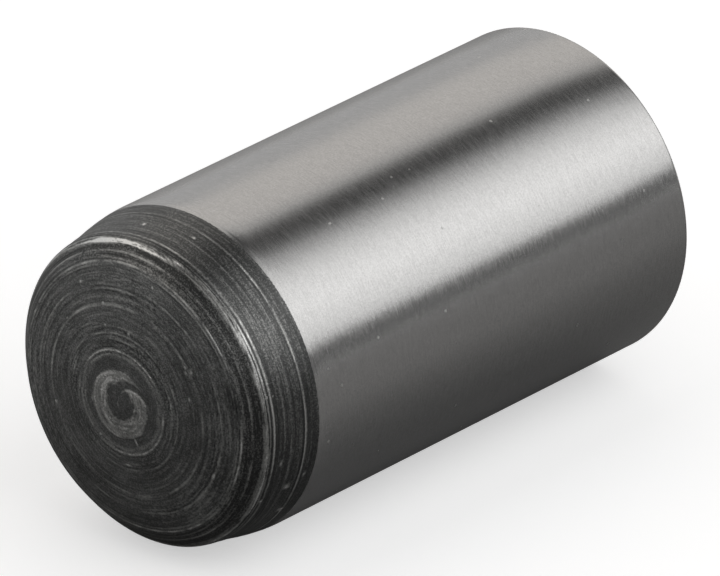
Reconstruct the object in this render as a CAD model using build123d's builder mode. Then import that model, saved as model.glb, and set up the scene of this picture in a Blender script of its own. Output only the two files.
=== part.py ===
"""Hardened dowel pin: one turned and ground piece, lying along X with its lead-in end towards +X."""

from build123d import *
import os
from math import radians, sqrt, tan

# Driving dimensions, in millimetres and degrees
pin_diameter = 10.0
pin_length = 20.0

# Lead-in end: low crown, bevelled rim, slightly tapered land, then the lead-in cone
crown_radius = 16.0
rim_inset = 0.305
rim_bevel_width = 0.595
rim_bevel_angle = 46.0
land_length = 0.84
land_angle = 8.0
lead_in_angle = 11.5
crown_edge_rounding = 0.4
rim_rounding = 0.25
neck_rounding = 1.5
shoulder_rounding = 5.0

# Far end: a plain dome with its edge just broken
far_dome_height = 1.2
far_edge_rounding = 0.15

# Distances from the tip of the crown, measured along the axis
pin_radius = pin_diameter / 2
rim_radius = pin_radius - rim_inset
crown_edge_radius = rim_radius - rim_bevel_width
crown_edge_at = crown_radius - sqrt(crown_radius**2 - crown_edge_radius**2)
rim_at = crown_edge_at + rim_bevel_width / tan(radians(rim_bevel_angle))
neck_at = rim_at + land_length
neck_radius = rim_radius + land_length * tan(radians(land_angle))
shoulder_at = neck_at + (pin_radius - neck_radius) / tan(radians(lead_in_angle))

# The crown's tip and the far dome's tip, with the origin halfway between them
tip_x = pin_length / 2
far_tip_x = -pin_length / 2
crown_edge_point = (tip_x - crown_edge_at, crown_edge_radius)
rim_point = (tip_x - rim_at, rim_radius)
neck_point = (tip_x - neck_at, neck_radius)
shoulder_point = (tip_x - shoulder_at, pin_radius)
far_edge_point = (far_tip_x + far_dome_height, pin_radius)

# Corners of the profile that are rounded, each with its radius
corner_roundings = [
    (crown_edge_point, crown_edge_rounding),
    (rim_point, rim_rounding),
    (neck_point, neck_rounding),
    (shoulder_point, shoulder_rounding),
    (far_edge_point, far_edge_rounding),
]

# The far dome's radius follows from its height over the full shank
far_dome_radius = (pin_radius**2 + far_dome_height**2) / (2 * far_dome_height)

with BuildPart() as dowel_pin:
    # Half section above the axis, in the XZ plane
    with BuildSketch(Plane.XZ) as half_section:
        with BuildLine() as outline:
            RadiusArc((tip_x, 0), crown_edge_point, -crown_radius)
            Polyline(crown_edge_point, rim_point, neck_point, shoulder_point, far_edge_point)
            RadiusArc(far_edge_point, (far_tip_x, 0), -far_dome_radius)
            Line((far_tip_x, 0), (tip_x, 0))
        make_face()
        for corner, rounding in corner_roundings:
            fillet(half_section.vertices().sort_by_distance(corner)[0], radius=rounding)
    revolve(axis=Axis.X)

dowel_pin.part.label = "dowel_pin"
os.makedirs("parts", exist_ok=True)
export_step(dowel_pin.part, "parts/dowel_pin.step")
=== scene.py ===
"""Looks of a hardened dowel pin: the turned black ends, the ground shank, and a small photo studio."""

import math

import bmesh
import bpy
from bpy.props import FloatProperty, FloatVectorProperty, IntProperty, PointerProperty
from mathutils import Matrix, Vector, noise


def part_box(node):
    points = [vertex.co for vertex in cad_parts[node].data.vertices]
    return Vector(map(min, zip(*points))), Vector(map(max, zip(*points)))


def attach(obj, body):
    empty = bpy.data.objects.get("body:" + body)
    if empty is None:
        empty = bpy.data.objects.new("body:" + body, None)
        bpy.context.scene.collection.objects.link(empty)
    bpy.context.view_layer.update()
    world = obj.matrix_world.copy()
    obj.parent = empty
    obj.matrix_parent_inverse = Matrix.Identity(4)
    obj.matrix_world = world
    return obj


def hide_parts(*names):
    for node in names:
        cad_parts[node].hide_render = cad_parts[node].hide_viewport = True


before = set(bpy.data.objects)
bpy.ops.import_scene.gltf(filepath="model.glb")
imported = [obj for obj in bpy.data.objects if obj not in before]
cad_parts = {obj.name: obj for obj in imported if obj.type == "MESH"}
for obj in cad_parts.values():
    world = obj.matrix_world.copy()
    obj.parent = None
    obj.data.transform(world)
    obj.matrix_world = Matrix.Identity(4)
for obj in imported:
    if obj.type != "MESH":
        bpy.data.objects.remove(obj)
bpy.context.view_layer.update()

bl_info = {
    "name": "Dowel Pin",
    "version": (1, 0, 0),
    "blender": (4, 5, 0),
    "location": "View3D > Sidebar > Dowel Pin",
    "description": "Builds a hardened dowel pin with a ground shank and black turned ends",
    "category": "Add Mesh",
}

NODE_LOW, NODE_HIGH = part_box("dowel_pin")

MM = 0.001

# Divisions of the half section: how many on each curve, and their length on the straight runs
CROWN_STEPS = 150
CROWN_EDGE_STEPS = 8
RIM_STEPS = 12
NECK_STEPS = 4
SHOULDER_STEPS = 30
FAR_EDGE_STEPS = 4
DOME_STEPS = 18
MARK_STEP = 0.027 * MM
PLAIN_STEP = 2.5 * MM

# Along the axis: where the black scale stops, and where the rim has rubbed bright, with a painted highlight
# in the rub. The rub lies a little behind that place, and before it on the upper side.
SCALE_EDGE = 7.13 * MM
FAR_SCALE_EDGE = -8.76 * MM
CROWN_EDGE_X = 9.47 * MM
RIM_RUB_X = 8.97 * MM
RIM_RUB_WIDTH = 0.13 * MM
RIM_RUB_BACK = 0.035 * MM
RIM_RUB_FORWARDS = 0.08 * MM

# A side of the pin is given by its middle and half width in degrees, where 0 is +Y and 90 is +Z.
# These are the sides on which the rim is rubbed most, and where its painted highlight is brightest.
UPPER_RUB_AND_HIGHLIGHT = (95, 48)
FRONT_RUB_AND_HIGHLIGHT = (30, 28)

# A small chip in the rubbed rim: place along the axis, half length and side
CHIP_X = 9.06 * MM
CHIP_HALF_LENGTH = 0.12 * MM
CHIP_SIDE = (15, 6)

# Where the marks of the crown end and those of the rim and lead-in begin, as a radius
CROWN_MARKS_END = 4.1 * MM
CROWN_MARKS_MARGIN = 0.05 * MM

# The plateau of the swirl at the crown's centre, and the sides to which its edges bulge
SWIRL_INNER = 0.49 * MM
SWIRL_OUTER = 1.05 * MM
SWIRL_HEIGHT = 0.006 * MM
SWIRL_BULGE = 0.06 * MM
SWIRL_BULGE_TOWARDS = math.radians(-150)
SWIRL_RAGGED = 0.05 * MM
SWIRL_FINE_RAGGED = 0.03 * MM
PLATEAU_RISE = (-0.03 * MM, 0.05 * MM)
PLATEAU_FALL = (-0.03 * MM, 0.02 * MM)
CORE_BULGE = 0.12 * MM
CORE_BULGE_SIDE = (130, 50)

# The groove that curls inwards through the plateau: it starts at this radius and angle
GROOVE_START_R = 1.03 * MM
GROOVE_CURL = 0.53 * MM
GROOVE_HALF_WIDTH = 0.07 * MM
GROOVE_WIDENING = 0.14 * MM
GROOVE_START_DEGREES = 20
GROOVE_SWEEP_DEGREES = 76

# The lip on the groove's inner side: its gap to the groove, half width, height, and rise from the core
LIP_GAP = 0.03 * MM
LIP_HALF_WIDTH = 0.07 * MM
LIP_HEIGHT = 0.003 * MM
LIP_RISE = (0.28 * MM, 0.45 * MM)

# How the groove and its lip fade in and out, as shares of the groove's sweep
GROOVE_FADE_IN = (-0.25, 0.0)
GROOVE_FADE_OUT = (1.0, 1.3)
LIP_FADE_IN = (-0.3, 0.0)
LIP_FADE_OUT = (0.6, 1.0)

# The comma in the core: its radius and half width, and each lobe's side and strength
COMMA_R = 0.11 * MM
COMMA_HALF_WIDTH = 0.045 * MM
COMMA_DEPTH = 0.001 * MM
COMMA_LOBES = (((-165, 80), 1.0), ((178, 60), 0.5))

# The bright hook on the plateau, and the crest in its middle
HOOK_R = 0.85 * MM
HOOK_HALF_WIDTH = 0.25 * MM
HOOK_SIDE = (122, 55)
CREST_R = 0.72 * MM
CREST_HALF_WIDTH = 0.16 * MM

# The band of marks round the swirl, whose inner edge runs out a little with the angle
BAND_INNER = 1.34 * MM
BAND_RUN_OUT = 0.04 * MM
BAND_RISE = 0.05 * MM
BAND_FALL = (1.56 * MM, 1.66 * MM)
BAND_HEIGHT = 0.002 * MM

# Where the plain dark ring between swirl and band ends, and where the turned part of the crown begins
DARK_RING_FALL = (1.28 * MM, 1.36 * MM)
TURNING_RISE = (1.25 * MM, 1.7 * MM)

# The inner rings run out with the angle, by this much at half a turn, and every ring waves a little
RING_DRIFT = 0.05 * MM
RING_WAVE = 0.006 * MM
RING_WAVES_ROUND = 5

# The outer rings lie off the axis: how far at the rim, where that begins, and to which side
RING_OFFSET = 0.09 * MM
RING_OFFSET_FROM = 2.4 * MM
RING_OFFSET_SIDE = math.radians(50)

# The crown's rings fade on one side, and on another its outer part is darkened with painted shade from this
# radius outwards
RING_FADE_SIDE = (-150, 75)
PAINTED_SHADE_SIDE = (42, 75)
PAINTED_SHADE_RISE = (2.2 * MM, 2.9 * MM)

# The lead-in's own rings, up to here along the axis, are fainter on the upper side
FADED_RINGS_END = 8.5 * MM
FADED_RINGS_SIDE = (95, 50)

# Grain of the turned surface, as pattern cells in each millimetre, and distances between its arcs
GRAIN_PER_MM = 22
SMEAR_ARCS = 0.07 * MM
ROUGH_ARCS = 0.06 * MM
LONG_ARCS = 0.09 * MM
RING_BREAKS = 0.4 * MM
RIM_ARCS = 0.035 * MM
FAR_FACE_ARCS = 0.09 * MM

# The lead-in's fine grooves: their distance, their depth, and how far from the scale's edge they reach it
FINE_GROOVES = 0.05 * MM
FINE_GROOVE_DEPTH = 0.0022 * MM
FINE_GROOVE_RISE = 0.1 * MM

# The marked surface is sunk by this much, so that its crests stay within the pin's true size
MARK_ALLOWANCE = 0.006 * MM

# Patterns of the finishes: grains in cells per metre, and distances between lines
GRAIN = 24000.0
DUST = 16000.0
BLOTCHES = 900.0
NICKS = 1150.0
NICK_BENDS = 9000.0
NICK_BEND_SIZE = 0.05 * MM
TURNED_LINES = 0.085 * MM
GRINDING_LINES = 0.04 * MM
GRINDING_PATCHES = 0.07 * MM
GRINDING_TILT_ROUND = 0.022
GRINDING_TILT_ALONG = 0.035
NOISE_MIDDLE = (0.5, 0.5, 0.5)

# How much of a nick shows bare steel
NICK_COVER = 0.7

# How rough the finishes are: the least and most, what a nick adds, and what rubbing takes off
STEEL_ROUGHNESS = (0.20, 0.26)
SCALE_ROUGHNESS = (0.30, 0.44)
NICK_ROUGHNESS = 0.4
RUBBED_SMOOTHNESS = 0.14
ANISOTROPY = 0.55

# The scale's edges, its bump, and where its tone changes at the rubbed rim and the crown's edge
SCALE_EDGE_WANDER = 0.05 * MM
SCALE_EDGE_SOFTNESS = 0.008 * MM
FAR_EDGE_SOFTNESS = 0.01 * MM
SCALE_BUMP = 0.0045 * MM
BEVEL_TONE = (RIM_RUB_X, RIM_RUB_X + 0.08 * MM)
CROWN_TONE = (CROWN_EDGE_X - 0.10 * MM, CROWN_EDGE_X + 0.04 * MM)

# The camera looks at a point this far from the pin's middle
CAMERA_AIM = (-0.0829 * MM, 0.0838 * MM, 0.0131 * MM)

# The floor: its half size, its paper, and how much it shines of itself towards the camera
FLOOR_HALF = 1.5
FLOOR_WHITE = 0.88
FLOOR_GLOW = 0.50

# The card under the pin carries painted shade: how far its grading reaches, and its greys from behind the pin
# to the front
CARD_HALF = 0.5
CARD_LIFT = 0.01 * MM
CARD_REACH = 0.06
CARD_SHADE_GREYS = (
    (0.0, 0.54),
    (0.40, 0.40),
    (0.46, 0.26),
    (0.54, 0.20),
    (0.64, 0.32),
    (1.0, 0.34),
)

# Past the pin's end the card's grading leans forwards, and its painted shade deepens to a share of its grey
CARD_LEAN = 0.5
CARD_END_FADE = (0.003, 0.02)
CARD_SIDE_FADE = (-0.03, 0.0)
CARD_END_SHADE_SHARE = 0.55

# The panels: their distance, their angles above the level on the camera's side, and their grades upwards
PANEL_DISTANCE = 0.6
MAIN_PANEL_ANGLES = (14, 92)
MAIN_PANEL_GRADE = (0.66, 0.84, 0.93, 1.03, 0.95, 0.75, 0.44, 0.13, 0.05)
FILL_PANEL_ANGLES = (101, 157)
FILL_TINT = (1.0, 0.965, 0.93)
DARK_STRIPS = (
    ("dark_strip", (84, 106), (0.05, 0.05), True),
    ("horizon_card", (-8, 14), (0.25, 0.22, 0.12, 0.10), False),
)
FEATHER_INNER = 0.4

# Past the pin's lead-in end the main panel dims along its length to a share of its strength
MAIN_PANEL_FADE = (-0.15, 0.45)
MAIN_PANEL_END_SHARE = 0.4

# Rings that stand out on the crown: radius, half width, lift and wear
CROWN_RINGS = (
    (1.43 * MM, 0.035 * MM, 0.0020 * MM, 0.45),
    (1.49 * MM, 0.030 * MM, -0.0020 * MM, -0.20),
    (1.57 * MM, 0.045 * MM, 0.0035 * MM, 1.00),
    (1.66 * MM, 0.035 * MM, -0.0030 * MM, -0.25),
    (1.75 * MM, 0.030 * MM, 0.0010 * MM, 0.20),
    (1.81 * MM, 0.030 * MM, -0.0020 * MM, -0.20),
    (1.88 * MM, 0.040 * MM, 0.0020 * MM, 0.50),
    (2.00 * MM, 0.030 * MM, -0.0025 * MM, -0.25),
    (2.07 * MM, 0.035 * MM, 0.0025 * MM, 0.55),
    (2.16 * MM, 0.035 * MM, -0.0020 * MM, -0.18),
    (2.26 * MM, 0.035 * MM, 0.0015 * MM, 0.35),
    (2.45 * MM, 0.035 * MM, 0.0010 * MM, 0.20),
    (2.63 * MM, 0.035 * MM, 0.0015 * MM, 0.35),
    (2.90 * MM, 0.060 * MM, 0.0030 * MM, 0.70),
    (3.00 * MM, 0.035 * MM, -0.0015 * MM, -0.15),
    (3.14 * MM, 0.050 * MM, 0.0015 * MM, 0.25),
    (3.30 * MM, 0.035 * MM, -0.0025 * MM, -0.22),
    (3.37 * MM, 0.030 * MM, 0.0010 * MM, 0.20),
    (3.43 * MM, 0.030 * MM, -0.0025 * MM, -0.22),
    (3.52 * MM, 0.050 * MM, 0.0030 * MM, 0.65),
    (3.68 * MM, 0.035 * MM, 0.0010 * MM, 0.20),
    (3.83 * MM, 0.035 * MM, 0.0015 * MM, 0.30),
    (3.98 * MM, 0.035 * MM, -0.0025 * MM, -0.20),
    (4.04 * MM, 0.035 * MM, 0.0020 * MM, 0.45),
    (4.14 * MM, 0.045 * MM, 0.0025 * MM, 0.90),
)

# Rings on the rim's bevel and the lead-in: place along the axis, half width, lift and wear
CONE_RINGS = (
    (9.38 * MM, 0.025 * MM, 0.0010 * MM, 0.25),
    (9.23 * MM, 0.035 * MM, 0.0020 * MM, 0.60),
    (9.14 * MM, 0.030 * MM, -0.0030 * MM, -0.20),
    (8.90 * MM, 0.022 * MM, -0.0030 * MM, -0.50),
    (8.81 * MM, 0.035 * MM, -0.0040 * MM, -0.35),
    (8.73 * MM, 0.045 * MM, 0.0040 * MM, 1.00),
    (8.65 * MM, 0.035 * MM, -0.0030 * MM, -0.30),
    (8.56 * MM, 0.070 * MM, -0.0040 * MM, -0.25),
    (8.36 * MM, 0.050 * MM, 0.0020 * MM, 0.22),
    (8.24 * MM, 0.040 * MM, -0.0010 * MM, -0.10),
    (8.10 * MM, 0.060 * MM, 0.0020 * MM, 0.22),
    (7.98 * MM, 0.030 * MM, -0.0010 * MM, -0.12),
    (7.86 * MM, 0.040 * MM, 0.0010 * MM, 0.14),
    (7.69 * MM, 0.040 * MM, -0.0025 * MM, -0.30),
    (7.62 * MM, 0.040 * MM, 0.0025 * MM, 1.00),
    (7.54 * MM, 0.035 * MM, -0.0010 * MM, -0.20),
    (7.30 * MM, 0.130 * MM, 0.0, -0.12),
)

# How bare the middle of a nick is, where 1 is bare steel
NICK_WEAR = 1.2

# Nicks in the crown: radius, degrees round, half size outwards and half size in degrees
CROWN_NICKS = (
    (2.80 * MM, 35.5, 0.060 * MM, 1.6),
    (2.86 * MM, 38.5, 0.050 * MM, 1.3),
    (2.98 * MM, 34.5, 0.060 * MM, 2.0),
    (2.58 * MM, 19.5, 0.050 * MM, 1.5),
    (2.22 * MM, 85.0, 0.070 * MM, 1.8),
    (1.91 * MM, -84.5, 0.040 * MM, 5.0),
    (1.18 * MM, -62.0, 0.190 * MM, 2.6),
    (3.45 * MM, -22.5, 0.070 * MM, 1.5),
    (3.62 * MM, 121.0, 0.060 * MM, 1.5),
    (2.85 * MM, -162.0, 0.080 * MM, 1.5),
    (2.32 * MM, 108.0, 0.040 * MM, 1.6),
)

# Nicks in the lead-in: place along the axis, degrees round, half sizes the same way
CONE_NICKS = (
    (7.95 * MM, -23.0, 0.160 * MM, 1.5),
    (7.68 * MM, -36.0, 0.160 * MM, 1.5),
    (8.42 * MM, -11.0, 0.060 * MM, 1.6),
    (7.45 * MM, -19.0, 0.070 * MM, 1.4),
    (8.15 * MM, 99.0, 0.090 * MM, 1.3),
    (7.90 * MM, 79.0, 0.060 * MM, 1.2),
    (8.78 * MM, -27.0, 0.080 * MM, 1.4),
)


class PinSizes(bpy.types.PropertyGroup):
    """Sizes of the pin and of the tool marks that its turning left."""

    diameter: FloatProperty(
        name="Diameter", description="Diameter of the ground shank", subtype="DISTANCE", unit="LENGTH",
        default=NODE_HIGH.y - NODE_LOW.y, precision=5)
    length: FloatProperty(
        name="Length", description="Length over the two crowned ends", subtype="DISTANCE", unit="LENGTH",
        default=NODE_HIGH.x - NODE_LOW.x, precision=5)
    crown_radius: FloatProperty(
        name="Crown radius", description="Radius of the low dome on the lead-in end", unit="LENGTH",
        default=16 * MM, precision=5)
    rim_inset: FloatProperty(
        name="Rim inset", description="How far the rim lies inside the shank's surface", unit="LENGTH",
        default=0.305 * MM, precision=6)
    rim_bevel_width: FloatProperty(
        name="Rim bevel width", description="Radial width of the bevel between crown and rim", unit="LENGTH",
        default=0.595 * MM, precision=6)
    rim_bevel_angle: FloatProperty(
        name="Rim bevel angle", description="Slope of the rim's bevel to the axis", subtype="ANGLE",
        default=math.radians(46))
    land_length: FloatProperty(
        name="Land length", description="Axial length of the land behind the rim", unit="LENGTH",
        default=0.84 * MM, precision=6)
    land_angle: FloatProperty(
        name="Land angle", description="Taper of the land behind the rim", subtype="ANGLE",
        default=math.radians(8))
    lead_in_angle: FloatProperty(
        name="Lead-in angle", description="Taper of the lead-in cone", subtype="ANGLE",
        default=math.radians(11.5))
    crown_edge_rounding: FloatProperty(
        name="Crown edge rounding", description="Radius where the crown meets the rim's bevel", unit="LENGTH",
        default=0.4 * MM, precision=6)
    rim_rounding: FloatProperty(
        name="Rim rounding", description="Radius where the rim's bevel meets the land", unit="LENGTH",
        default=0.25 * MM, precision=6)
    neck_rounding: FloatProperty(
        name="Neck rounding", description="Radius where the land meets the lead-in", unit="LENGTH",
        default=1.5 * MM, precision=5)
    shoulder_rounding: FloatProperty(
        name="Shoulder rounding", description="Radius where the lead-in meets the shank", unit="LENGTH",
        default=5 * MM, precision=5)
    far_edge_rounding: FloatProperty(
        name="Far edge rounding", description="Radius where the shank meets the far dome", unit="LENGTH",
        default=0.15 * MM, precision=6)
    far_dome_height: FloatProperty(
        name="Far dome height", description="Height of the far end's dome", unit="LENGTH",
        default=1.2 * MM, precision=5)
    turning_feed: FloatProperty(
        name="Turning feed", description="Distance between the tool marks on the crown", unit="LENGTH",
        default=0.085 * MM, precision=6)
    mark_depth: FloatProperty(
        name="Mark depth", description="Depth of the tool marks on the crown", unit="LENGTH",
        default=0.0014 * MM, precision=7)
    round_steps: IntProperty(
        name="Steps round", description="Divisions round the pin", default=324, min=64, max=400)


class PinColours(bpy.types.PropertyGroup):
    """Colours of the ground steel, the black scale and their marks."""

    ground_steel: FloatVectorProperty(
        name="Ground steel", description="Colour of the ground shank", subtype="COLOR", size=3,
        default=(0.585, 0.58, 0.572), min=0, max=1)
    black_scale: FloatVectorProperty(
        name="Black scale", description="Colour of the heat-treatment scale", subtype="COLOR", size=3,
        default=(0.185, 0.188, 0.185), min=0, max=1)
    worn_scale: FloatVectorProperty(
        name="Worn scale", description="Colour where the scale is rubbed to bare steel", subtype="COLOR",
        size=3, default=(0.70, 0.70, 0.68), min=0, max=1)
    # Partly painted highlight: the most rubbed places, the rim most of all, turn near white
    polished_rim_and_highlight: FloatVectorProperty(
        name="Polished rim and highlight", description="Colour where the rim and rings are rubbed bright", subtype="COLOR",
        size=3, default=(0.98, 0.98, 0.96), min=0, max=1)
    # Dark marks and painted shade: the grooves, the crown's shaded side and dark streaks take this colour
    dark_marks_and_shade: FloatVectorProperty(
        name="Dark marks and shade", description="Colour in the deepest tool marks", subtype="COLOR", size=3,
        default=(0.032, 0.032, 0.032), min=0, max=1)
    nick_steel: FloatVectorProperty(
        name="Nick steel", description="Colour of the bare steel in a nick", subtype="COLOR", size=3,
        default=(0.80, 0.80, 0.78), min=0, max=1)


class StudioValues(bpy.types.PropertyGroup):
    """The camera's place and the brightness of the studio."""

    azimuth: FloatProperty(
        name="Azimuth", description="Direction of the camera round the pin", subtype="ANGLE",
        default=math.radians(131.612))
    elevation: FloatProperty(
        name="Elevation", description="Height of the camera above the pin", subtype="ANGLE",
        default=math.radians(25.888))
    distance: FloatProperty(
        name="Distance", description="Distance of the camera from the pin's middle", unit="LENGTH",
        default=0.39989, precision=5)
    lens: FloatProperty(
        name="Lens", description="Focal length", unit="CAMERA", default=697.35, min=1, max=5000)
    panel_strength: FloatProperty(
        name="Panel strength", description="Brightness of the main soft panel", default=1.25, min=0)
    fill_strength: FloatProperty(
        name="Fill strength", description="Brightness of the fill panel behind the pin", default=0.70, min=0)
    surround_strength: FloatProperty(
        name="Surround strength", description="Brightness of the room", default=0.5, min=0)


def arc_points(start, end, radius, steps, bulge_sign):
    """Points of the arc from start to end, start left out, bulging to the side that bulge_sign gives."""
    (x0, r0), (x1, r1) = start, end
    chord = math.hypot(x1 - x0, r1 - r0)
    middle = ((x0 + x1) / 2, (r0 + r1) / 2)
    offset = math.sqrt(max(radius**2 - chord**2 / 4, 0))
    across = (-(r1 - r0) / chord, (x1 - x0) / chord)
    centre = (middle[0] - bulge_sign * across[0] * offset, middle[1] - bulge_sign * across[1] * offset)
    a0 = math.atan2(r0 - centre[1], x0 - centre[0])
    a1 = math.atan2(r1 - centre[1], x1 - centre[0])
    turn = (a1 - a0 + math.pi) % (2 * math.pi) - math.pi
    angles = [a0 + turn * k / steps for k in range(1, steps + 1)]
    return [(centre[0] + radius * math.cos(a), centre[1] + radius * math.sin(a)) for a in angles]


def rounded_corner(before, corner, after, radius, steps):
    """Points that round a corner between two straight runs."""
    towards = Vector(before) - Vector(corner)
    away = Vector(after) - Vector(corner)
    half = towards.angle(away) / 2
    tangent = radius / math.tan(half)
    start = Vector(corner) + towards.normalized() * tangent
    end = Vector(corner) + away.normalized() * tangent
    side = 1 if towards.x * away.y - towards.y * away.x > 0 else -1
    return [tuple(start)] + arc_points(tuple(start), tuple(end), radius, steps, side)


def pin_profile(sizes):
    """Half section from the crown's tip to the far dome's tip, as (x, radius) points."""
    shank = sizes.diameter / 2
    tip = sizes.length / 2
    rim_r = shank - sizes.rim_inset
    edge_r = rim_r - sizes.rim_bevel_width
    edge_at = sizes.crown_radius - math.sqrt(sizes.crown_radius**2 - edge_r**2)
    rim_at = edge_at + sizes.rim_bevel_width / math.tan(sizes.rim_bevel_angle)
    neck_at = rim_at + sizes.land_length
    neck_r = rim_r + sizes.land_length * math.tan(sizes.land_angle)
    shoulder_at = neck_at + (shank - neck_r) / math.tan(sizes.lead_in_angle)
    edge, rim = (tip - edge_at, edge_r), (tip - rim_at, rim_r)
    neck, shoulder = (tip - neck_at, neck_r), (tip - shoulder_at, shank)
    far_edge, far_tip = (-tip + sizes.far_dome_height, shank), (-tip, 0)

    far_radius = (shank**2 + sizes.far_dome_height**2) / (2 * sizes.far_dome_height)
    dome = arc_points(far_edge, far_tip, far_radius, DOME_STEPS, -1)

    # The crown, in steps fine enough to carry its tool marks
    before_edge = crown_point(sizes, edge_r - MARK_STEP)
    crown_end = rounded_corner(before_edge, edge, rim, sizes.crown_edge_rounding, CROWN_EDGE_STEPS)[0][1]
    points = [crown_point(sizes, crown_end * k / CROWN_STEPS) for k in range(CROWN_STEPS)]

    # Each corner is rounded, and the straight runs between carry marks as far as the shoulder
    path = (before_edge, edge, rim, neck, shoulder, far_edge, dome[0])
    roundings = (
        (sizes.crown_edge_rounding, CROWN_EDGE_STEPS, MARK_STEP),
        (sizes.rim_rounding, RIM_STEPS, MARK_STEP),
        (sizes.neck_rounding, NECK_STEPS, MARK_STEP),
        (sizes.shoulder_rounding, SHOULDER_STEPS, MARK_STEP),
        (sizes.far_edge_rounding, FAR_EDGE_STEPS, PLAIN_STEP),
    )
    for place, (radius, steps, step) in enumerate(roundings):
        corner = rounded_corner(path[place], path[place + 1], path[place + 2], radius, steps)
        points += subdivided(points[-1], corner[0], step)
        points += corner[1:]
    return points + dome[1:-1] + [far_tip]


def crown_point(sizes, r):
    """The crown's (x, radius) point at a radius."""
    return (sizes.length / 2 - sizes.crown_radius + math.sqrt(sizes.crown_radius**2 - r**2), r)


def subdivided(start, end, step):
    """Even points on the straight run from start to end, start left out."""
    run = Vector(end) - Vector(start)
    count = max(1, round(run.length / step))
    return [tuple(Vector(start) + run * k / count) for k in range(1, count + 1)]


def bump_shape(value, centre, half_width):
    """1 at the centre, falling smoothly to 0 at half_width to either side."""
    share = min(abs(value - centre) / half_width, 1)
    return (1 - share * share) ** 2


def ramp(value, low, high):
    """0 at low and 1 at high, smooth between."""
    share = min(max((value - low) / (high - low), 0), 1)
    return share * share * (3 - 2 * share)


def side_shape(degrees, side):
    """1 in the middle of a side, falling smoothly to 0 at its half width."""
    middle, half_width = side
    return bump_shape(degrees, middle, half_width)


def arc_noise(along, angle, grain, turns, seed=0.0):
    """Noise that runs in arcs round the axis: fine across the arcs and slow round them."""
    y, z = math.cos(angle) * turns, math.sin(angle) * turns
    return noise.noise(Vector((along / grain + seed, y + seed, z)))


def nick_wear(along, angle, nicks):
    """Bare steel in the small nicks near a point."""
    degrees = math.degrees(angle)
    wear_and_shading = 0.0
    for nick_along, nick_degrees, half_along, half_degrees in nicks:
        beside = bump_shape(degrees, nick_degrees, half_degrees)
        wear_and_shading += bump_shape(along, nick_along, half_along) * beside
    return NICK_WEAR * wear_and_shading


def swirl_groove(r, degrees):
    """How much of the plateau the run-off groove leaves, and the lip on the groove's inner side."""
    share = (degrees - GROOVE_START_DEGREES) / GROOVE_SWEEP_DEGREES
    if not LIP_FADE_IN[0] <= share <= GROOVE_FADE_OUT[1]:
        return 1.0, 0.0
    groove_r = GROOVE_START_R - GROOVE_CURL * share
    half = GROOVE_HALF_WIDTH + GROOVE_WIDENING * max(share, 0)
    groove = ramp(1 - abs(r - groove_r) / half, 0, 0.35) * ramp(share, *GROOVE_FADE_IN)
    lip = bump_shape(r, groove_r - half - LIP_GAP, LIP_HALF_WIDTH) * (1 - ramp(share, *LIP_FADE_OUT))
    lip *= ramp(share, *LIP_FADE_IN) * ramp(r, *LIP_RISE)
    return 1 - groove * (1 - ramp(share, *GROOVE_FADE_OUT)), lip


def swirl_marks(r, angle):
    """Height and wear of the swirl at the crown's centre, where the cutting tool ran off."""
    degrees = math.degrees(angle)
    y, z = math.cos(angle) * r / MM, math.sin(angle) * r / MM
    ragged = SWIRL_RAGGED * noise.noise(Vector((r / MM * 4, math.cos(angle) * 3, math.sin(angle) * 3)))
    ragged += SWIRL_FINE_RAGGED * noise.noise(Vector((y * 9, z * 9, 4)))
    fine = noise.noise(Vector((y * 16, z * 16, 0))) + 0.7 * noise.noise(Vector((y * 34, z * 34, 7)))
    smear = arc_noise(r, angle, SMEAR_ARCS, 2.0, 31.0)

    # The plateau, less the groove that cuts in from its outside and curls to the core
    outer = SWIRL_OUTER + SWIRL_BULGE * math.cos(angle - SWIRL_BULGE_TOWARDS) + ragged
    inner = SWIRL_INNER + CORE_BULGE * side_shape(degrees, CORE_BULGE_SIDE) + 1.3 * ragged
    plateau = ramp(r - inner, *PLATEAU_RISE) * (1 - ramp(r - outer, *PLATEAU_FALL))
    left, lip = swirl_groove(r, degrees)
    plateau *= left

    comma = 0.0
    for side, strength in COMMA_LOBES:
        comma += strength * bump_shape(r, COMMA_R, COMMA_HALF_WIDTH) * side_shape(degrees, side)
    band_r = BAND_INNER + BAND_RUN_OUT * angle / math.pi + ragged
    band = ramp(r, band_r, band_r + BAND_RISE) * (1 - ramp(r, *BAND_FALL))
    hook = plateau * side_shape(degrees, HOOK_SIDE) * bump_shape(r, HOOK_R, HOOK_HALF_WIDTH)
    crest = bump_shape(r, CREST_R, CREST_HALF_WIDTH) * plateau

    height = plateau * SWIRL_HEIGHT + band * BAND_HEIGHT - comma * COMMA_DEPTH + LIP_HEIGHT * lip
    wear_and_shading = plateau * (0.52 + 0.34 * fine + 0.55 * smear + 0.10 * crest)
    wear_and_shading += hook * (0.25 + 0.9 * max(smear, 0)) + 0.55 * lip + comma * 0.55 + band * (0.16 + 0.25 * fine)
    wear_and_shading -= 0.05 * (1 - plateau) * (1 - ramp(r, *DARK_RING_FALL))
    return height, wear_and_shading


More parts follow.
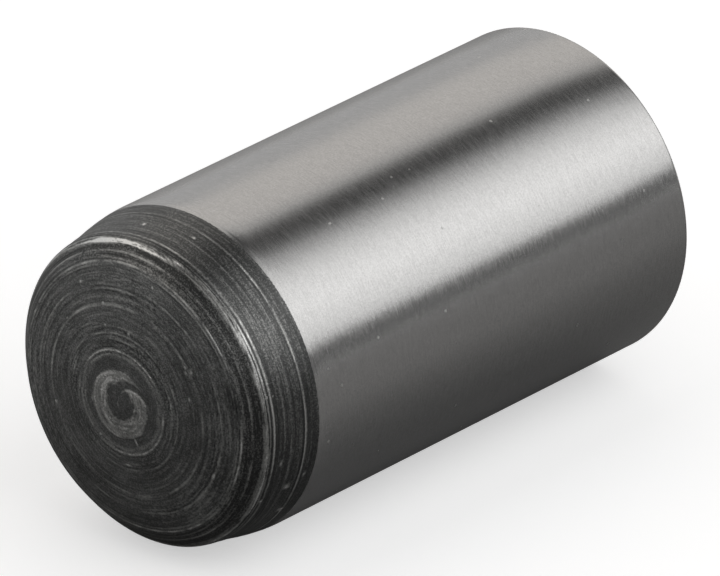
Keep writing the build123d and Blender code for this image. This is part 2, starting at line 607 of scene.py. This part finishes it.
def crown_ring_marks(r, angle):
    """Height and wear of the rings that stand out on the crown."""
    height = 0.0
    wear_and_shading = 0.0
    fade = 1 - 0.65 * side_shape(math.degrees(angle), RING_FADE_SIDE)
    for ring_r, width, lift, shine in CROWN_RINGS:
        off_axis = RING_OFFSET * ramp(ring_r, RING_OFFSET_FROM, CROWN_MARKS_END)
        drift = off_axis * (math.cos(angle - RING_OFFSET_SIDE) - 1)
        drift += RING_WAVE * math.sin(angle * RING_WAVES_ROUND + ring_r / MM * 3)
        if ring_r < RING_OFFSET_FROM:
            drift += RING_DRIFT * angle / math.pi
        if abs(r - ring_r - drift) > width:
            continue
        broken = 0.62 + 1.3 * arc_noise(ring_r, angle, RING_BREAKS, 3.2, ring_r / MM)
        broken *= 0.8 + 0.9 * arc_noise(ring_r, angle, RING_BREAKS, 16.0, ring_r / MM)
        broken = min(max(broken, 0.0), 1.2)
        line = bump_shape(r, ring_r + drift, width)
        height += lift * line * (0.4 + 0.6 * broken)
        wear_and_shading += shine * line * broken * fade
    return height, wear_and_shading


def crown_marks(r, angle, grain, sizes):
    """Height and wear of the crown at a point: the swirl, the rings and the turning between them, and painted
    shade on one side.
    """
    degrees = math.degrees(angle)
    outside = ramp(r, *TURNING_RISE)
    patch = noise.noise(Vector((r / MM * 1.3, math.cos(angle) * 1.6, math.sin(angle) * 1.6 + 5)))
    patch = min(max(0.6 + 0.9 * patch, 0.15), 1)
    spiral = math.sin(2 * math.pi * (r / sizes.turning_feed - angle / (2 * math.pi)))
    rough = arc_noise(r, angle, ROUGH_ARCS, 2.4)
    long_lines = arc_noise(r, angle, LONG_ARCS, 1.1, 12.0)
    swirl_height, swirl_wear = swirl_marks(r, angle)
    ring_height, ring_wear = crown_ring_marks(r, angle)
    height = swirl_height + ring_height
    height += outside * patch * sizes.mark_depth * (0.6 * spiral + 2.2 * rough)
    wear_and_shading = swirl_wear + ring_wear
    wear_and_shading += outside * (0.34 * patch * rough + 0.10 * long_lines + 0.04 * spiral + 0.55 * patch * grain)
    # Painted shade: the crown's outer part is darker on one side
    wear_and_shading -= 0.07 * side_shape(degrees, PAINTED_SHADE_SIDE) * ramp(r, *PAINTED_SHADE_RISE)
    wear_and_shading += nick_wear(r, angle, CROWN_NICKS)
    return height, wear_and_shading


def cone_marks(x, angle, grain):
    """Height and wear of the rim's bevel, the land and the lead-in at a point."""
    height = 0.0
    wear_and_shading = nick_wear(x, angle, CONE_NICKS)
    for ring_x, width, lift, shine in CONE_RINGS:
        if abs(x - ring_x) > width:
            continue
        broken = 0.7 + 0.9 * arc_noise(ring_x, angle, RING_BREAKS, 3.0, ring_x / MM)
        broken = min(max(broken + 0.5 * grain, 0.15), 1.1)
        if ring_x < FADED_RINGS_END:
            broken *= 1 - 0.6 * side_shape(math.degrees(angle), FADED_RINGS_SIDE)
        line = bump_shape(x, ring_x, width)
        height += lift * line
        wear_and_shading += shine * line * broken
    fine_groove = arc_noise(x, angle, FINE_GROOVES, 1.5, 9.0)
    height += FINE_GROOVE_DEPTH * fine_groove * ramp(x, SCALE_EDGE, SCALE_EDGE + FINE_GROOVE_RISE)
    wear_and_shading += 0.16 * fine_groove + 0.12 * grain
    return height, wear_and_shading


def end_marks(x, r, angle, sizes):
    """Height and wear of the turned black end at a point, with painted shade on one side of the crown and a
    painted highlight on the rim.
    """
    y, z = math.cos(angle) * r / MM, math.sin(angle) * r / MM
    grain = noise.noise(Vector((x / MM * GRAIN_PER_MM, y * GRAIN_PER_MM, z * GRAIN_PER_MM)))
    if r < CROWN_MARKS_END + CROWN_MARKS_MARGIN:
        height, wear_and_shading = crown_marks(r, angle, grain, sizes)
    else:
        height, wear_and_shading = cone_marks(x, angle, grain)
    wear_and_shading += rim_wear_and_highlight(x, angle, grain)
    return height, min(max(wear_and_shading, -0.5), 1)


def rim_wear_and_highlight(x, angle, grain):
    """Bare steel where the rim has rubbed, with a painted highlight: two runs with ragged ends, at slightly
    different places.
    """
    degrees = math.degrees(angle)
    upper = side_shape(degrees, UPPER_RUB_AND_HIGHLIGHT)
    centre = RIM_RUB_X - RIM_RUB_BACK + RIM_RUB_FORWARDS * upper
    rub_and_highlight = bump_shape(x, centre, RIM_RUB_WIDTH * (1 - 0.28 * upper))
    if rub_and_highlight <= 0:
        return 0.0
    ragged = arc_noise(x, angle, RIM_ARCS, 4.0, 3.0)
    blotch = noise.noise(Vector((x / MM * 3, math.cos(angle) * 9, math.sin(angle) * 9)))
    # Painted highlight: the rub is strongest on the upper and front sides
    strength = 0.66 + 0.8 * upper + 0.7 * side_shape(degrees, FRONT_RUB_AND_HIGHLIGHT)
    chip = side_shape(degrees, CHIP_SIDE) * bump_shape(x, CHIP_X, CHIP_HALF_LENGTH)
    strength *= 1 - 0.95 * chip
    return rub_and_highlight * strength * min(max(0.75 + 1.3 * ragged + 0.5 * blotch + 0.6 * grain, 0.05), 1.3)


def make_pin(context):
    """Spins the half section round the pin's axis."""
    sizes = context.scene.pin_sizes
    profile = pin_profile(sizes)
    shape = bmesh.new()
    chain = [shape.verts.new((x, 0, max(r, 0))) for x, r in profile]
    edges = [shape.edges.new(pair) for pair in zip(chain, chain[1:])]
    bmesh.ops.spin(
        shape, geom=chain + edges, cent=(0, 0, 0), axis=(1, 0, 0), angle=2 * math.pi,
        steps=sizes.round_steps, use_merge=True, use_duplicate=False)
    bmesh.ops.remove_doubles(shape, verts=shape.verts, dist=1e-8)
    bmesh.ops.dissolve_degenerate(shape, edges=shape.edges, dist=1e-8)
    bmesh.ops.recalc_face_normals(shape, faces=shape.faces)
    cut_tool_marks(shape, sizes)
    for face in shape.faces:
        face.smooth = True
    mesh = bpy.data.meshes.new("turned_pin")
    shape.to_mesh(mesh)
    shape.free()
    piece = bpy.data.objects.new("turned_pin", mesh)
    context.scene.collection.objects.link(piece)
    return piece


def cut_tool_marks(shape, sizes):
    """Moves the turned ends' surface by the depth of its marks, and keeps how worn each point is, with its
    painted shade and highlight.
    """
    wear_and_shading_layer = shape.verts.layers.float.new("wear_and_shading")
    tip = sizes.length / 2
    shape.normal_update()
    moves = []
    for vert in shape.verts:
        x, y, z = vert.co
        r = math.hypot(y, z)
        near_end = x > SCALE_EDGE - FINE_GROOVE_RISE
        far_end = x < -tip + sizes.far_dome_height
        if not (near_end or far_end):
            continue
        angle = math.atan2(z, y)
        if near_end:
            height, wear_and_shading = end_marks(x, r, angle, sizes)
        else:
            rough = arc_noise(r, angle, FAR_FACE_ARCS, 2.0, 20.0)
            height, wear_and_shading = 2 * sizes.mark_depth * rough, 0.12 * max(rough, 0)
        vert[wear_and_shading_layer] = wear_and_shading
        moves.append((vert, vert.normal * (height - MARK_ALLOWANCE)))
    for vert, move in moves:
        vert.co += move


class Nodes:
    """A short way to add nodes and links to a material's tree."""

    def __init__(self, tree):
        self.tree = tree

    def add(self, kind, settings=None, **inputs):
        node = self.tree.nodes.new(kind)
        for name, value in (settings or {}).items():
            setattr(node, name, value)
        for name, value in inputs.items():
            self.feed(node, name.replace("_", " "), value)
        return node

    def feed(self, node, name, value):
        """Links or sets an input, which is named, or given by its place as in i0."""
        if name[:1] == "i" and name[1:].isdigit():
            socket = node.inputs[int(name[1:])]
        else:
            socket = node.inputs[name]
        if isinstance(value, bpy.types.NodeSocket):
            self.tree.links.new(value, socket)
        else:
            socket.default_value = value

    def math(self, operation, a, b=0.0, c=0.0, clamp=False):
        node = self.add("ShaderNodeMath", {"operation": operation, "use_clamp": clamp}, i0=a, i1=b, i2=c)
        return node.outputs[0]

    def mapped(self, value, low, high, to_low=0.0, to_high=1.0, smooth=True):
        node = self.add("ShaderNodeMapRange", {"interpolation_type": "SMOOTHSTEP" if smooth else "LINEAR"})
        for name, given in zip(("Value", "From Min", "From Max", "To Min", "To Max"),
                               (value, low, high, to_low, to_high)):
            self.feed(node, name, given)
        return node.outputs[0]

    def mix_colour(self, factor, a, b):
        node = self.add("ShaderNodeMix", {"data_type": "RGBA"})
        self.feed(node, "i0", factor)
        self.feed(node, "i6", a)
        self.feed(node, "i7", b)
        return node.outputs[2]

    def vector(self, operation, a, b=None, scale=None):
        node = self.add("ShaderNodeVectorMath", {"operation": operation})
        self.feed(node, "i0", a)
        if b is not None:
            self.feed(node, "i1", b)
        if scale is not None:
            self.feed(node, "Scale", scale)
        return node.outputs[0]

    def noise(self, vector, scale, detail=2.0, roughness=0.5):
        node = self.add("ShaderNodeTexNoise", {"noise_dimensions": "3D"}, Vector=vector, Scale=scale,
                        Detail=detail, Roughness=roughness)
        return node.outputs[0]

    def graded(self, value, stops):
        """A grey that follows the (position, level) stops."""
        node = self.add("ShaderNodeValToRGB", Fac=value)
        node.color_ramp.interpolation = "EASE"
        elements = node.color_ramp.elements
        while len(elements) < len(stops):
            elements.new(0.5)
        for element, (position, level) in zip(elements, stops):
            element.position = position
            element.color = (level, level, level, 1)
        return node.outputs[0]

    def noise_colour(self, vector, scale):
        node = self.add("ShaderNodeTexNoise", {"noise_dimensions": "3D"}, Vector=vector, Scale=scale,
                        Detail=0.0)
        return node.outputs[1]


def round_coordinates(n, place, along, along_scale, round_scale, shift=0.0):
    """Coordinates for streaks that run round the axis."""
    parts = n.add("ShaderNodeSeparateXYZ", Vector=place)
    flat = n.add("ShaderNodeCombineXYZ", Y=parts.outputs[1], Z=parts.outputs[2]).outputs[0]
    around = n.vector("SCALE", n.vector("NORMALIZE", flat), scale=round_scale)
    lengthways = n.add("ShaderNodeCombineXYZ", X=n.math("MULTIPLY", along, along_scale), Y=shift)
    return n.vector("ADD", around, lengthways.outputs[0])


def steel_normal(n, place, x):
    """The ground shank's normal: tilted a little from one grinding line to the next."""
    fine = n.noise(round_coordinates(n, place, x, 1 / GRINDING_LINES, 14.0), 1.0, 2.0, 0.6)
    coarse = n.noise(round_coordinates(n, place, x, 1 / GRINDING_PATCHES, 50.0, 7.0), 1.0, 2.0, 0.6)
    normal = n.add("ShaderNodeNewGeometry").outputs["Normal"]
    along_axis = n.add("ShaderNodeCombineXYZ", X=1.0).outputs[0]
    around = n.vector("CROSS_PRODUCT", along_axis, normal)
    tilt_round = n.math("MULTIPLY", n.math("SUBTRACT", coarse, 0.5), GRINDING_TILT_ROUND)
    tilt_along = n.math("MULTIPLY", n.math("SUBTRACT", fine, 0.5), GRINDING_TILT_ALONG)
    moved = n.vector("ADD", normal, n.vector("SCALE", around, scale=tilt_round))
    moved = n.vector("ADD", moved, n.vector("SCALE", along_axis, scale=tilt_along))
    return n.vector("NORMALIZE", moved), fine, coarse


def shade(colour, share):
    """A colour made darker or lighter, with its alpha."""
    return (*[min(level * share, 1) for level in colour], 1)


def black_share(n, place, x):
    """1 on the black scale and 0 on ground steel, with a ragged line where the grinding wheel ran off."""
    ragged = n.noise(round_coordinates(n, place, x, 400.0, 90.0), 1.0, 1.0)
    edge_x = n.math("ADD", x, n.math("MULTIPLY", n.math("SUBTRACT", ragged, 0.5), SCALE_EDGE_WANDER))
    near_black = n.mapped(edge_x, SCALE_EDGE - SCALE_EDGE_SOFTNESS, SCALE_EDGE + SCALE_EDGE_SOFTNESS)
    far_black = n.mapped(edge_x, FAR_SCALE_EDGE + FAR_EDGE_SOFTNESS, FAR_SCALE_EDGE - FAR_EDGE_SOFTNESS)
    return n.math("MAXIMUM", near_black, far_black)


def steel_colour(n, colours, fine, coarse, grain):
    """The ground steel's colour, lighter and darker from one grinding line to the next."""
    tone = n.math("MULTIPLY_ADD", fine, 0.42, n.math("MULTIPLY", coarse, 0.16))
    tone = n.math("MULTIPLY_ADD", grain, 0.42, tone)
    tone = n.mapped(tone, 0.38, 0.62, smooth=False)
    return n.mix_colour(tone, shade(colours.ground_steel, 0.86), shade(colours.ground_steel, 1.11))


def scale_finish(n, colours, place, grain):
    """The black scale's colour, roughness and normal, with bare steel where it is rubbed, a painted highlight
    where it is rubbed most, and painted shade and dark marks where it is darkened.
    """
    parts = n.add("ShaderNodeSeparateXYZ", Vector=place)
    x, y, z = parts.outputs
    # The attribute holds the wear together with painted shade and highlight
    wear_and_shading = n.add("ShaderNodeAttribute", {"attribute_name": "wear_and_shading"}).outputs["Fac"]

    # Radius less the place along the axis runs out over the crown and on down the lead-in
    radius = n.math("SQRT", n.math("ADD", n.math("POWER", y, 2), n.math("POWER", z, 2)))
    outwards = n.math("SUBTRACT", radius, x)
    blotch = n.noise(place, BLOTCHES, 3.0, 0.6)
    lines = n.noise(round_coordinates(n, place, outwards, 1 / TURNED_LINES, 3.0, 3.0), 1.0, 4.0, 0.75)
    dust = n.noise(place, DUST, 2.0, 0.7)
    speck = n.math("MULTIPLY_ADD", grain, 0.6, n.math("MULTIPLY", dust, 0.4))
    speck = n.mapped(speck, 0.36, 0.66, -0.15, 0.18)

    # The crown is the lightest part, the lead-in is darker, and the rim's bevel is darkest
    scale = colours.black_scale
    crown_scale = n.mix_colour(n.mapped(blotch, 0.3, 0.7), shade(scale, 0.82), shade(scale, 1.15))
    side_scale = n.mix_colour(n.mapped(x, *BEVEL_TONE), shade(scale, 0.62), shade(scale, 0.38))
    dark = n.mix_colour(n.mapped(x, *CROWN_TONE), side_scale, crown_scale)

    line_wear = n.mapped(lines, 0.35, 0.70, -0.10, 0.26)
    line_wear = n.math("MULTIPLY", line_wear, n.mapped(blotch, 0.3, 0.7, 0.4, 1.0))
    worn = n.math("ADD", n.math("ADD", wear_and_shading, line_wear), speck)
    rubbed = n.math("MAXIMUM", worn, 0.0, clamp=True)
    # Painted highlight: the most rubbed places turn near white
    polished_and_highlight = n.mapped(wear_and_shading, 0.65, 1.0)
    # Painted shade and dark marks: where the value falls below zero, in the grooves, on the crown's shaded
    # side and in dark streaks
    dark_marks_and_shade_share = n.math("MULTIPLY", n.math("MINIMUM", worn, 0.0), -1.7, clamp=True)
    colour = n.mix_colour(rubbed, dark, shade(colours.worn_scale, 1))
    colour = n.mix_colour(polished_and_highlight, colour, shade(colours.polished_rim_and_highlight, 1))
    colour = n.mix_colour(dark_marks_and_shade_share, colour, shade(colours.dark_marks_and_shade, 1))

    roughness = n.mapped(blotch, 0.3, 0.7, *SCALE_ROUGHNESS)
    roughness = n.math("SUBTRACT", roughness, n.mapped(wear_and_shading, 0.45, 1.0, 0.0, RUBBED_SMOOTHNESS))
    bump = n.add("ShaderNodeBump", Strength=1.0, Distance=SCALE_BUMP)
    n.feed(bump, "Height", n.math("ADD", lines, n.math("MULTIPLY", speck, 3.0)))
    return colour, roughness, bump.outputs[0]


def sparse_nicks(n, place):
    """1 in small sparse nicks of uneven outline, and 0 between them."""
    bend = n.vector("SUBTRACT", n.noise_colour(place, NICK_BENDS), NOISE_MIDDLE)
    bent_place = n.vector("ADD", place, n.vector("SCALE", bend, scale=NICK_BEND_SIZE))
    cells = n.add("ShaderNodeTexVoronoi", {"feature": "F1"}, Vector=bent_place, Scale=NICKS)
    return n.mapped(cells.outputs["Distance"], 0.065, 0.03)


def pin_finish(colours):
    """Ground steel on the shank, black scale on the ends, and nicks that catch the light on both."""
    material = bpy.data.materials.new("ground_and_blackened_steel")
    material.use_nodes = True
    tree = material.node_tree
    tree.nodes.clear()
    n = Nodes(tree)
    place = n.add("ShaderNodeTexCoord").outputs["Object"]
    x = n.add("ShaderNodeSeparateXYZ", Vector=place).outputs[0]
    grain = n.noise(place, GRAIN, 1.0, 0.6)
    ground_normal, fine, coarse = steel_normal(n, place, x)
    steel = steel_colour(n, colours, fine, coarse, grain)
    scale, scale_roughness, scale_normal = scale_finish(n, colours, place, grain)
    nick = sparse_nicks(n, place)
    black = black_share(n, place, x)

    colour = n.mix_colour(black, steel, scale)
    colour = n.mix_colour(n.math("MULTIPLY", nick, NICK_COVER), colour, shade(colours.nick_steel, 1))
    steel_roughness = n.mapped(fine, 0.25, 0.75, *STEEL_ROUGHNESS)
    steel_roughness = n.math("MULTIPLY_ADD", nick, NICK_ROUGHNESS, steel_roughness)
    roughness = n.add("ShaderNodeMix", {"data_type": "FLOAT"})
    n.feed(roughness, "i0", black)
    n.feed(roughness, "i2", steel_roughness)
    n.feed(roughness, "i3", scale_roughness)
    normal = n.add("ShaderNodeMix", {"data_type": "VECTOR"})
    n.feed(normal, "i0", black)
    n.feed(normal, "i4", ground_normal)
    n.feed(normal, "i5", scale_normal)

    shader = n.add("ShaderNodeBsdfPrincipled", Metallic=1.0, Anisotropic=ANISOTROPY)
    n.feed(shader, "Base Color", colour)
    n.feed(shader, "Roughness", roughness.outputs[0])
    n.feed(shader, "Normal", normal.outputs[1])
    n.feed(shader, "Tangent", n.add("ShaderNodeCombineXYZ", X=1.0).outputs[0])
    n.add("ShaderNodeOutputMaterial", Surface=shader.outputs[0])
    return material


class PIN_OT_body(bpy.types.Operator):
    """Make the pin and give it its finish"""

    bl_idname = "pin.body"
    bl_label = "Pin"

    def execute(self, context):
        piece = make_pin(context)
        piece.data.materials.append(pin_finish(context.scene.pin_colours))
        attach(piece, "root")
        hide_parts("dowel_pin")
        return {"FINISHED"}


class PIN_OT_studio(bpy.types.Operator):
    """Make the floor, the soft panels and the camera"""

    bl_idname = "pin.studio"
    bl_label = "Studio"

    def execute(self, context):
        scene = context.scene
        values = scene.pin_studio
        scene.view_settings.view_transform = "Standard"
        make_camera(scene, values)
        make_floor(scene)
        make_lights(scene, values)
        return {"FINISHED"}


def make_camera(scene, values):
    """The camera at the photo's angle, far off with a long lens."""
    camera = bpy.data.cameras.new("photo_camera")
    camera.lens = values.lens
    camera.sensor_width = 36
    camera.sensor_fit = "HORIZONTAL"
    camera.clip_start = 0.01
    camera.clip_end = 20
    holder = bpy.data.objects.new("photo_camera", camera)
    scene.collection.objects.link(holder)
    level = math.cos(values.elevation)
    outward = Vector((
        math.sin(values.azimuth) * level,
        -math.cos(values.azimuth) * level,
        math.sin(values.elevation)))
    holder.location = Vector(CAMERA_AIM) + outward * values.distance
    holder.rotation_euler = (-outward).to_track_quat("-Z", "Y").to_euler()
    scene.camera = holder


def stage_plane(scene, name, half_length, half_width, material):
    """A flat stage piece on the XY plane, for a floor, a card or a panel."""
    shape = bmesh.new()
    bmesh.ops.create_grid(shape, x_segments=1, y_segments=1, size=1.0)
    bmesh.ops.scale(shape, verts=shape.verts, vec=(half_length, half_width, 1))
    mesh = bpy.data.meshes.new(name)
    shape.to_mesh(mesh)
    shape.free()
    mesh.materials.append(material)
    plane = bpy.data.objects.new(name, mesh)
    scene.collection.objects.link(plane)
    return plane


def seen_directly(n):
    """1 for what the camera sees, straight or in metal and glass, and 0 for what only lights."""
    path = n.add("ShaderNodeLightPath")
    seen = n.math("MAXIMUM", path.outputs["Is Camera Ray"], path.outputs["Is Glossy Ray"])
    return n.math("MAXIMUM", seen, path.outputs["Is Transmission Ray"])


def make_floor(scene):
    """A white floor that keeps the pin's shadow, and a card of painted shade that only the metal reflects."""
    material = bpy.data.materials.new("white_floor")
    material.use_nodes = True
    tree = material.node_tree
    tree.nodes.clear()
    n = Nodes(tree)
    paper = n.add("ShaderNodeBsdfDiffuse", Color=(FLOOR_WHITE, FLOOR_WHITE, FLOOR_WHITE, 1))
    glow = n.add("ShaderNodeEmission", Strength=n.math("MULTIPLY", seen_directly(n), FLOOR_GLOW))
    both = n.add("ShaderNodeAddShader", i0=paper.outputs[0], i1=glow.outputs[0])
    n.add("ShaderNodeOutputMaterial", Surface=both.outputs[0])
    floor = stage_plane(scene, "floor", FLOOR_HALF, FLOOR_HALF, material)
    floor.location.z = NODE_LOW.z

    # The card is painted shade, seen only in the metal's reflections
    card = stage_plane(scene, "shade_card", CARD_HALF, CARD_HALF, shade_card_material())
    card.location.z = NODE_LOW.z + CARD_LIFT
    only_reflected(card)


def shade_card_material():
    """The card's grey is painted shade: darkest by the pin, and lighter away from it, most of all behind it.
    """
    material = bpy.data.materials.new("shade_card")
    material.use_nodes = True
    tree = material.node_tree
    tree.nodes.clear()
    n = Nodes(tree)
    place = n.add("ShaderNodeSeparateXYZ", Vector=n.add("ShaderNodeTexCoord").outputs["Object"])
    past_end = n.math("MAXIMUM", n.math("SUBTRACT", place.outputs[0], NODE_HIGH.x), 0.0)
    forwards = n.math("MULTIPLY_ADD", past_end, CARD_LEAN, place.outputs[1])
    # Painted shade: the grey is darkest beside the pin
    shade_grey = n.graded(n.mapped(forwards, -CARD_REACH, CARD_REACH, smooth=False), CARD_SHADE_GREYS)
    # Painted shade: past the lead-in end, on the camera's side, the grey darkens further
    end_shade = n.mapped(place.outputs[1], *CARD_SIDE_FADE)
    end_shade = n.math("MULTIPLY", n.mapped(past_end, *CARD_END_FADE), end_shade)
    shade_grey = n.math("MULTIPLY", shade_grey, n.mapped(end_shade, 0.0, 1.0, 1.0, CARD_END_SHADE_SHARE, smooth=False))
    n.add("ShaderNodeOutputMaterial", Surface=n.add("ShaderNodeBsdfDiffuse", Color=shade_grey).outputs[0])
    return material


def only_reflected(item):
    """Leaves a stage piece in reflections alone."""
    item.visible_camera = False
    item.visible_diffuse = False
    item.visible_shadow = False
    item.visible_transmission = False


def panel_material(name, tint, strengths, feathered, end_share):
    """A soft panel's light, graded evenly through the strengths from its lower to its upper edge.

    Past the pin's lead-in end the light dims to the end share.
    """
    material = bpy.data.materials.new(name)
    material.use_nodes = True
    tree = material.node_tree
    tree.nodes.clear()
    n = Nodes(tree)
    across = n.add("ShaderNodeSeparateXYZ", Vector=n.add("ShaderNodeTexCoord").outputs["Object"]).outputs[1]
    share = n.mapped(across, -1.0, 1.0, smooth=False)
    last = len(strengths) - 1
    grade = n.graded(share, [(index / last, level) for index, level in enumerate(strengths)])
    if end_share < 1:
        position = n.add("ShaderNodeNewGeometry").outputs["Position"]
        lengthways = n.add("ShaderNodeSeparateXYZ", Vector=position).outputs[0]
        grade = n.math("MULTIPLY", grade, n.mapped(lengthways, *MAIN_PANEL_FADE, 1.0, end_share))
    light = n.add("ShaderNodeEmission", Color=(*tint, 1), Strength=grade)
    surface = light.outputs[0]
    if feathered:
        rise = n.mapped(across, -1.0, -FEATHER_INNER)
        fall = n.mapped(across, 1.0, FEATHER_INNER)
        clear = n.add("ShaderNodeBsdfTransparent").outputs[0]
        cover = n.math("MULTIPLY", rise, fall)
        surface = n.add("ShaderNodeMixShader", i0=cover, i1=clear, i2=surface).outputs[0]
    n.add("ShaderNodeOutputMaterial", Surface=surface)
    return material


def soft_panel(scene, name, angles, strengths, tint=(1, 1, 1), feathered=False, end_share=1.0):
    """A long panel beside the pin, between two angles above the level on the camera's side."""
    low, high = angles
    middle = math.radians((low + high) / 2)
    half_width = PANEL_DISTANCE * math.tan(math.radians((high - low) / 2))
    material = panel_material(name, tint, strengths, feathered, end_share)
    panel = stage_plane(scene, name, PANEL_DISTANCE * 3, 1.0, material)
    away = Vector((0, math.cos(middle), math.sin(middle)))
    upwards = Vector((0, -math.sin(middle), math.cos(middle)))
    panel.matrix_world = Matrix((
        (1, 0, 0, 0),
        (0, upwards.y * half_width, away.y, away.y * PANEL_DISTANCE),
        (0, upwards.z * half_width, away.z, away.z * PANEL_DISTANCE),
        (0, 0, 0, 1)))
    panel.visible_camera = False
    return panel


def make_lights(scene, values):
    """An even room, a main panel on the camera's side, a fill panel above and behind, and dark strips."""
    world = bpy.data.worlds.new("studio_room")
    world.use_nodes = True
    n = Nodes(world.node_tree)
    path = n.add("ShaderNodeLightPath").outputs["Is Camera Ray"]
    background = world.node_tree.nodes["Background"]
    background.inputs[0].default_value = (1, 1, 1, 1)
    n.feed(background, "Strength", n.mapped(path, 0, 1, values.surround_strength, 1.0, smooth=False))
    scene.world = world
    main_strengths = [share * values.panel_strength for share in MAIN_PANEL_GRADE]
    soft_panel(scene, "main_panel", MAIN_PANEL_ANGLES, main_strengths, end_share=MAIN_PANEL_END_SHARE)
    fill_strengths = (values.fill_strength,) * 2
    soft_panel(scene, "fill_panel", FILL_PANEL_ANGLES, fill_strengths, FILL_TINT, feathered=True)
    for name, angles, levels, feathered in DARK_STRIPS:
        strip = soft_panel(scene, name, angles, levels, feathered=feathered)
        strip.visible_diffuse = False
        strip.visible_shadow = False


class PIN_PT_sidebar(bpy.types.Panel):
    """Lists the pin's sizes, colours and studio values"""

    bl_idname = "PIN_PT_sidebar"
    bl_label = "Dowel Pin"
    bl_space_type = "VIEW_3D"
    bl_region_type = "UI"
    bl_category = "Dowel Pin"

    def draw(self, context):
        layout = self.layout
        for group in (context.scene.pin_sizes, context.scene.pin_colours, context.scene.pin_studio):
            box = layout.box()
            for name in group.__annotations__:
                box.prop(group, name)
        layout.operator(PIN_OT_body.bl_idname)
        layout.operator(PIN_OT_studio.bl_idname)


CLASSES = (PinSizes, PinColours, StudioValues, PIN_OT_body, PIN_OT_studio, PIN_PT_sidebar)


def register():
    for made in CLASSES:
        bpy.utils.register_class(made)
    bpy.types.Scene.pin_sizes = PointerProperty(type=PinSizes)
    bpy.types.Scene.pin_colours = PointerProperty(type=PinColours)
    bpy.types.Scene.pin_studio = PointerProperty(type=StudioValues)


def unregister():
    del bpy.types.Scene.pin_sizes
    del bpy.types.Scene.pin_colours
    del bpy.types.Scene.pin_studio
    for made in reversed(CLASSES):
        bpy.utils.unregister_class(made)


def main():
    register()
    bpy.ops.pin.body()
    bpy.ops.pin.studio()


if __name__ == "__main__":
    main()
